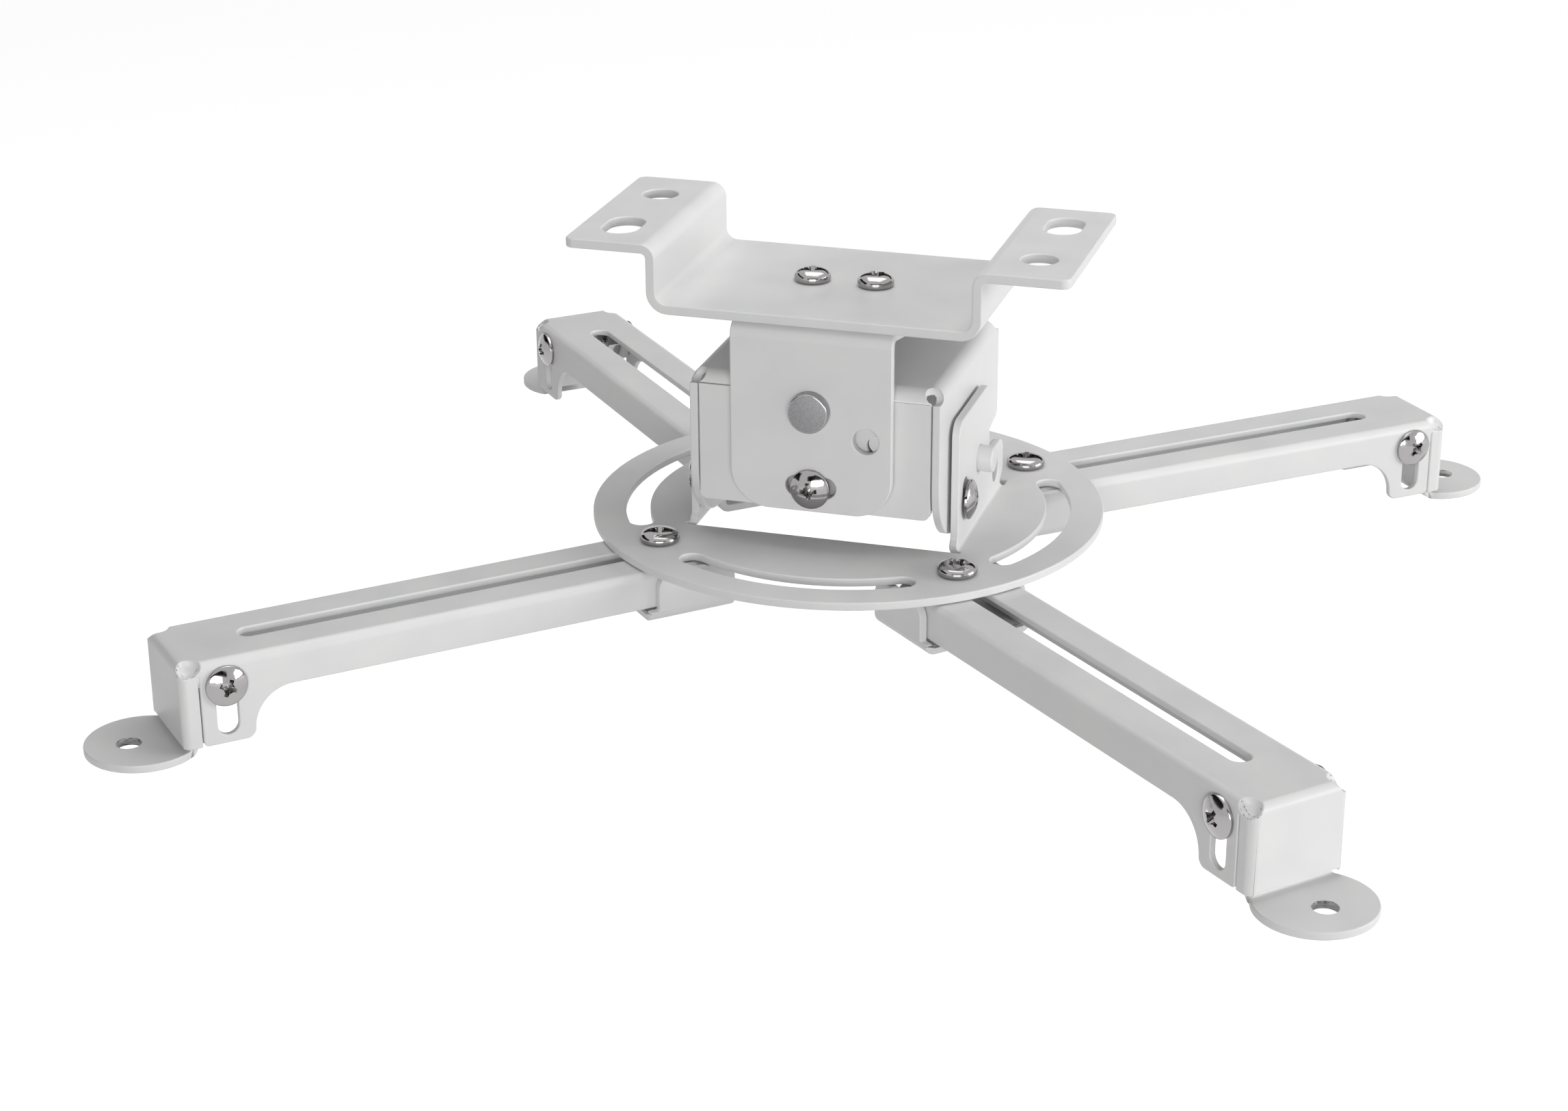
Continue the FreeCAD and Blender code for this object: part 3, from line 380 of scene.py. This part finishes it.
for side, way in (("front", FRONT), ("rear", REAR)):
    node = "roll_pivot_" + side
    work = solid_of(node)
    top = span(node, way)[1]
    face_verts = [vert for vert in work.verts if way.dot(vert.co) > top - LEVEL]
    bmesh.ops.translate(work, verts=face_verts, vec=way * RIVET_PROUD)
    top += RIVET_PROUD
    rim = [edge for edge in work.edges if all(abs(way.dot(vert.co) - top) < LEVEL for vert in edge.verts)]
    bmesh.ops.bevel(work, geom=rim, offset=RIVET_EDGE, segments=3, profile=0.5, affect="EDGES", material=-1)
    work.normal_update()
    for face in work.faces:
        outer = way.dot(face.normal) > 0.99 and way.dot(face.calc_center_median()) > top - LEVEL
        face.material_index = 1 if outer else 0
    crisp(work, node, "block", [nickel, rivet_steel], "_steel")
for side in ("left", "right"):
    coated("pitch_pivot_" + side, "block", STUB_EDGE)

# Lock screws of roll and pitch: M6 screws with a low, wide head and a cross recess, forged and nickel
# plated. Each passes through a curved slot into a nut behind the sheet, and holds the joint by friction.
LOW_HEAD = 6 * MM
LEFT, RIGHT = Vector((-1, 0, 0)), Vector((1, 0, 0))
for joint, side, way, turn in (("roll", "front", FRONT, 5), ("roll", "rear", REAR, 30),
                               ("pitch", "left", LEFT, 20), ("pitch", "right", RIGHT, 70)):
    fasten("%s_screw_%s" % (joint, side), "block", way, low_head(LOW_HEAD), turn)
    nut("%s_nut_%s" % (joint, side), "block")

# Hub: a disc of 2.5 mm sheet, laser cut with its slots and holes, with two tabs folded up, powder coated. It
# hangs from the tilt block's sides by the pitch pivots, which pass through the tabs.
coated("hub_disc", "hub")

# Sleeves: a cradle under the disc for each arm, folded from sheet and powder coated. A weld nut inside takes
# the clamp screw, a nickel plated pan head that comes down through the disc.
CLAMP_HEAD = (6 * MM, 3.4 * MM)
CORNERS = ("front_left", "front_right", "rear_left", "rear_right")
for corner, turn in zip(CORNERS, (15, 50, 35, 5)):
    for node in ("sleeve_", "clamp_nut_"):
        coated(node + corner, "sleeve_" + corner)
    fasten("clamp_screw_" + corner, "sleeve_" + corner, UP, pan_head(*CLAMP_HEAD), turn)

# Arms: channels of 2 mm sheet, folded and closed at the end, with a long slot in the top. The round relief
# where the folds meet is closed from inside by a bead of weld, so it shows as a dimple under the coat.
PAD_BELOW_HUB = 30.45 * MM
ARM_FACE = 11.3 * MM
ARM_HALF = 15.5 * MM
ARM_DROP = 2.8 * MM
ARM_FOLD = 2.6 * MM
RELIEF = 3.7 * MM
RELIEF_BACK = 2.9 * MM
RELIEF_INSET = 0.6 * MM
RELIEF_PLAY = 0.02 * MM
BEAD = 7 * MM
BEAD_BELOW_SKIN = 0.35 * MM
record = frame["record"]
slides = [joint for joint in record["behaviour"]["joints"] if joint["type"] == "slide"]
inward = {joint["child"]: Vector(joint["axis"]) for joint in slides}
pads = {mount["name"]: Vector(mount["pos_m"]) for mount in record["mounts"]}


def arm_frame(corner):
    """From the arm's own axes (outward, across, up; its origin over the pad's hole) to the frame."""
    outward = -inward["arm_" + corner]
    turned = Matrix((outward, UP.cross(outward), UP)).transposed().to_4x4()
    return Matrix.Translation(pads["pad_" + corner] + UP * PAD_BELOW_HUB) @ turned


def box(low, high):
    """A box between two corners."""
    work = bmesh.new()
    verts = bmesh.ops.create_cube(work, size=1)["verts"]
    bmesh.ops.scale(work, verts=verts, vec=[b - a for a, b in zip(low, high)])
    bmesh.ops.translate(work, verts=verts, vec=[(a + b) / 2 for a, b in zip(low, high)])
    return work


def relief_bead(side):
    """The bead behind one relief of an arm, in the arm's own axes, with the relief's dimple in it."""
    skin = BEAD_BELOW_SKIN
    flank = sorted((side * (ARM_HALF - BEAD), side * (ARM_HALF - skin)))
    bead = box((-ARM_FACE - BEAD, flank[0], -ARM_DROP - BEAD),
               (-ARM_FACE - skin, flank[1], -ARM_DROP - skin))
    outside = Vector((-ARM_FACE, side * ARM_HALF, -ARM_DROP))
    folds = []
    for edge in bead.edges:
        apart = (edge.verts[0].co + edge.verts[1].co) / 2 - outside
        if sum(abs(gap) < 2 * skin for gap in apart) >= 2:
            folds.append(edge)
    bmesh.ops.bevel(bead, geom=folds, offset=ARM_FOLD, segments=4, profile=0.5, affect="EDGES", material=-1)
    ball = bmesh.new()
    bmesh.ops.create_uvsphere(ball, u_segments=32, v_segments=20, radius=RELIEF + RELIEF_PLAY)
    bmesh.ops.translate(ball, verts=ball.verts,
                        vec=(-ARM_FACE - RELIEF_BACK, side * (ARM_HALF - RELIEF_INSET), -ARM_DROP))
    return cut_with(mesh_of(bead, "bead"), mesh_of(ball, "ball"), "bead")


def joined(meshes):
    """One work mesh that takes in several meshes and removes them."""
    work = bmesh.new()
    for mesh in meshes:
        work.from_mesh(mesh)
        bpy.data.meshes.remove(mesh)
    return work


for corner in CORNERS:
    body = "arm_" + corner
    coated(body, body)
    beads = joined([relief_bead(side) for side in (-1, 1)])
    beads.transform(arm_frame(corner))
    fix("relief_beads_" + corner, mesh_of(beads, "relief_beads"), body, "white_coat", [powder_coat])

# Feet: an angle of 2 mm sheet with a round pad, held in the arm's upright slots by two screws with nuts.
# Each ear ends just below its screw, so the slot under the screw shows daylight.
BEYOND_NUT = 1.5 * MM
FOOT_BACK = 15.9 * MM
EAR_BACK = 31.1 * MM
FOOT_DROP = 29.3 * MM
SCREW_DROP = 10.4 * MM
EAR_LIP = 1.8 * MM
EAR_BELOW_SCREW = 5.4 * MM
ABOVE_PAD = 0.2 * MM
for corner, turn in zip(CORNERS, (25, 60, 10, 45)):
    body = "foot_" + corner
    spare = box((-EAR_BACK - MM, -ARM_HALF, -FOOT_DROP + ABOVE_PAD),
                (-FOOT_BACK - EAR_LIP, ARM_HALF, -SCREW_DROP - EAR_BELOW_SCREW))
    spare.transform(arm_frame(corner))
    mesh = cut_with(mesh_of(solid_of(body), body), mesh_of(spare, "spare"), body)
    foot = fix(body + "_coat", mesh, body, "white_coat", [powder_coat], body)
    round_edges(foot, SOFT_EDGE, SHORTEST_ROUNDED)

    node = "foot_screws_" + corner
    nuts = "foot_nuts_" + corner
    along = inward["arm_" + corner]
    across = UP.cross(along)
    middle = along * (sum(span(node, along)) / 2) + UP * (sum(span(node, UP)) / 2)
    low, high = span(node, across)
    axis_mark = (low + high) / 2
    seat = (high - low) / 2 - CAD_HEAD
    nut_mark = min(abs(across.dot(nodes[nuts].matrix_world @ vert.co) - axis_mark)
                   for vert in nodes[nuts].data.vertices)
    pair = []
    for sign in (1, -1):
        work = screw(seat - nut_mark + BEYOND_NUT, low_head(LOW_HEAD), turn * sign)
        work.transform(standing(middle + across * (axis_mark + sign * seat), across * sign))
        pair.append(mesh_of(work, "one"))
    crisp(joined(pair), node, body, [nickel])
    nut(nuts, body)

# Studio: a white floor and a white room. The mount hangs over the floor, clear of it when the hub tilts.
# Soft lamps stand in front, on the right and above; dark cards outside the view give the plated heads their
# black lines.
TILT_ROOM = 95 * MM
floor_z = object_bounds()[0].z - TILT_ROOM
MIDDLE = Vector((0, 0, -0.05))
CARD_AIM = Vector((0, 0, 0.1))
WHITE = [1, 1, 1, 1]


def one_lit_one_seen(tree, lit, seen, output):
    """Lights the object with one shader and shows another to the camera and to reflections."""
    path = add(tree, "ShaderNodeLightPath")
    looks = add(tree, "ShaderNodeMath", {0: path.outputs["Is Camera Ray"], 1: path.outputs["Is Glossy Ray"]},
                operation="MAXIMUM")
    choice = add(tree, "ShaderNodeMixShader",
                 {"Fac": looks.outputs[0], 1: lit.outputs[0], 2: seen.outputs[0]})
    tree.links.new(choice.outputs[0], tree.nodes[output].inputs[0])


def board(name, centre, way, width, height, paint):
    """A flat stage board that faces a direction."""
    work = bmesh.new()
    bmesh.ops.create_grid(work, x_segments=1, y_segments=1, size=0.5)
    bmesh.ops.scale(work, verts=work.verts, vec=(width, height, 1))
    work.transform(standing(Vector(centre), way))
    made = bpy.data.objects.new(name, mesh_of(work, name))
    made.data.materials.append(paint)
    bpy.context.scene.collection.objects.link(made)
    return made


def lamp(name, spot, width, height, power):
    """A soft box that faces the mount."""
    light = bpy.data.lights.new(name, "AREA")
    light.shape = "RECTANGLE"
    light.size = width
    light.size_y = height
    light.energy = power
    made = bpy.data.objects.new(name, light)
    made.location = spot
    made.rotation_euler = (MIDDLE - Vector(spot)).to_track_quat("-Z", "Y").to_euler()
    made.visible_camera = False
    bpy.context.scene.collection.objects.link(made)


stage_paint = bpy.data.materials.new("white studio floor")
stage_paint.use_nodes = True
tree = stage_paint.node_tree
tree.nodes.remove(tree.nodes["Principled BSDF"])
matte = add(tree, "ShaderNodeBsdfDiffuse", {"Color": linear("C8C8C8")})
glow = add(tree, "ShaderNodeEmission", {"Color": WHITE, "Strength": 0.82})
bright = add(tree, "ShaderNodeAddShader", {0: matte.outputs[0], 1: glow.outputs[0]})
one_lit_one_seen(tree, matte, bright, "Material Output")
board("floor", (0, 0, floor_z), UP, 12, 12, stage_paint)

card_paint = metal_or_coat("black studio card", "101010", 1.0)[0]
for name, centre, width, height in (("card_front", (0.5, -1.6, 0.75), 2.4, 0.5),
                                    ("card_left", (-1.6, -0.2, 0.6), 2.4, 0.9),
                                    ("card_back", (-0.2, 1.7, 0.7), 2.6, 0.5)):
    card = board(name, centre, CARD_AIM - Vector(centre), width, height, card_paint)
    card.visible_camera = False

world = bpy.data.worlds.new("studio")
bpy.context.scene.world = world
world.use_nodes = True
tree = world.node_tree
room = tree.nodes["Background"]
room.inputs["Color"].default_value = WHITE
room.inputs["Strength"].default_value = 0.27
backdrop = add(tree, "ShaderNodeBackground", {"Color": WHITE, "Strength": 1.0})
one_lit_one_seen(tree, room, backdrop, "World Output")

lamp("front", (0.47, -1.74, 0.22), 1.2, 0.6, 13)
lamp("right", (1.6, 0.15, 0.22), 1.0, 0.6, 13)
lamp("top", (0.0, 0.1, 0.46), 0.5, 0.5, 1.4)

# Camera: it stands where the photo's camera stood and looks the same way. Both were found from the mount's
# own straight edges and circles.
lens = bpy.data.cameras.new("camera")
lens.sensor_width = 36
lens.sensor_fit = "HORIZONTAL"
lens.lens = 71.3166
lens.clip_start = 0.05
lens.clip_end = 50
camera = bpy.data.objects.new("camera", lens)
camera.location = (0.2367094, -0.8471074, 0.2625835)
camera.rotation_euler = [math.radians(angle) for angle in (67.3155483, 0.2410935, 16.6832020)]
bpy.context.scene.collection.objects.link(camera)
bpy.context.scene.camera = camera
bpy.context.scene.view_settings.view_transform = "Standard"
